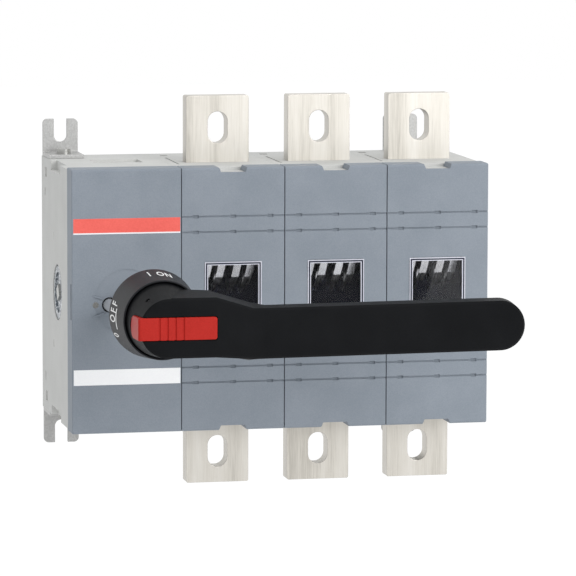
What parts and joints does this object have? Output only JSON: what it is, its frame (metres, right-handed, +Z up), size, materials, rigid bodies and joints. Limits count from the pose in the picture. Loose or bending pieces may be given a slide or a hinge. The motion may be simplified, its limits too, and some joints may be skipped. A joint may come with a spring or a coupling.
{
  "type": "switch disconnector",
  "caption": "Modular switch disconnector with a side mechanism, flat terminals up and down, and a front lever on an extended shaft.",
  "frame": {"origin": "middle of the four fork slots, in the plane of the panel that the switch is fixed to", "axes": "+Y into the panel, +Z up, +X to the right seen from the front"},
  "size_m": [0.2634, 0.2579, 0.245],
  "materials": {
    "cover_plastic": "fine textured blue-grey moulding",
    "housing_plastic": "light grey moulding",
    "clear_window": "clear polycarbonate",
    "tinned_copper": "tin-plated copper bar, brushed",
    "galvanised_steel": "galvanised sheet",
    "silvered_copper": "silver-plated copper",
    "drum_plastic": "dark moulding",
    "arc_steel": "steel sheet",
    "red_label": "printed film",
    "white_label": "printed film",
    "dial_plastic": "dark grey moulding with white marks",
    "handle_plastic": "black glass-filled moulding",
    "red_plastic": "red moulding",
    "boss_plastic": "light grey moulding",
    "machined_steel": "turned steel",
    "zinc_steel": "zinc-plated steel"
  },
  "bodies": {
    "housing": {"carrier_plate": "galvanised_steel", "dial_collar": "dial_plastic", "foot_screws": "zinc_steel", "lock_screw": "zinc_steel", "lower_label": "white_label", "lower_left_foot": "galvanised_steel", "lower_right_foot": "galvanised_steel", "mechanism_base": "housing_plastic", "mechanism_cover": "cover_plastic", "mechanism_housing": "housing_plastic", "pole_1_base": "housing_plastic", "pole_1_cover": "cover_plastic", "pole_1_housing": "housing_plastic", "pole_1_lower_arc_plates": "arc_steel", "pole_1_lower_terminal": "tinned_copper", "pole_1_upper_arc_plates": "arc_steel", "pole_1_upper_terminal": "tinned_copper", "pole_1_window": "clear_window", "pole_2_base": "housing_plastic", "pole_2_cover": "cover_plastic", "pole_2_housing": "housing_plastic", "pole_2_lower_arc_plates": "arc_steel", "pole_2_lower_terminal": "tinned_copper", "pole_2_upper_arc_plates": "arc_steel", "pole_2_upper_terminal": "tinned_copper", "pole_2_window": "clear_window", "pole_3_base": "housing_plastic", "pole_3_cover": "cover_plastic", "pole_3_housing": "housing_plastic", "pole_3_lower_arc_plates": "arc_steel", "pole_3_lower_terminal": "tinned_copper", "pole_3_upper_arc_plates": "arc_steel", "pole_3_upper_terminal": "tinned_copper", "pole_3_window": "clear_window", "shaft_boss": "boss_plastic", "side_peg": "boss_plastic", "tie_rod_nuts": "zinc_steel", "tie_rods": "zinc_steel", "torsion_spring": "zinc_steel", "upper_label": "red_label", "upper_left_foot": "galvanised_steel", "upper_right_foot": "galvanised_steel"},
    "handle": {"handle_lever": "handle_plastic", "operating_shaft": "machined_steel", "crank_disc": "machined_steel", "grub_screw": "zinc_steel"},
    "slider": {"lock_slider": "red_plastic"},
    "contact_roller": {"contact_axle": "machined_steel", "drive_drum": "machined_steel", "pole_1_drum": "drum_plastic", "pole_1_blades": "silvered_copper", "pole_2_drum": "drum_plastic", "pole_2_blades": "silvered_copper", "pole_3_drum": "drum_plastic", "pole_3_blades": "silvered_copper"}
  },
  "joints": [
    {"name": "handle_turn", "type": "hinge", "parent": "housing", "child": "handle", "pos_m": [-0.0868, -0.24, 0.002], "axis": [0, 1, 0], "range_deg": [0, 90]},
    {"name": "contact_turn", "type": "hinge", "parent": "housing", "child": "contact_roller", "pos_m": [0.0427, -0.062, 0], "axis": [-1, 0, 0], "range_deg": [0, 60]},
    {"name": "lock_slide", "type": "slide", "parent": "handle", "child": "slider", "axis": [-1, 0, 0], "range_m": [0, 0.008], "stiffness_N_per_m": 150}
  ],
  "couplings": [
    {"joint": "contact_turn", "follows": "handle_turn", "ratio": 0.6666}
  ]
}
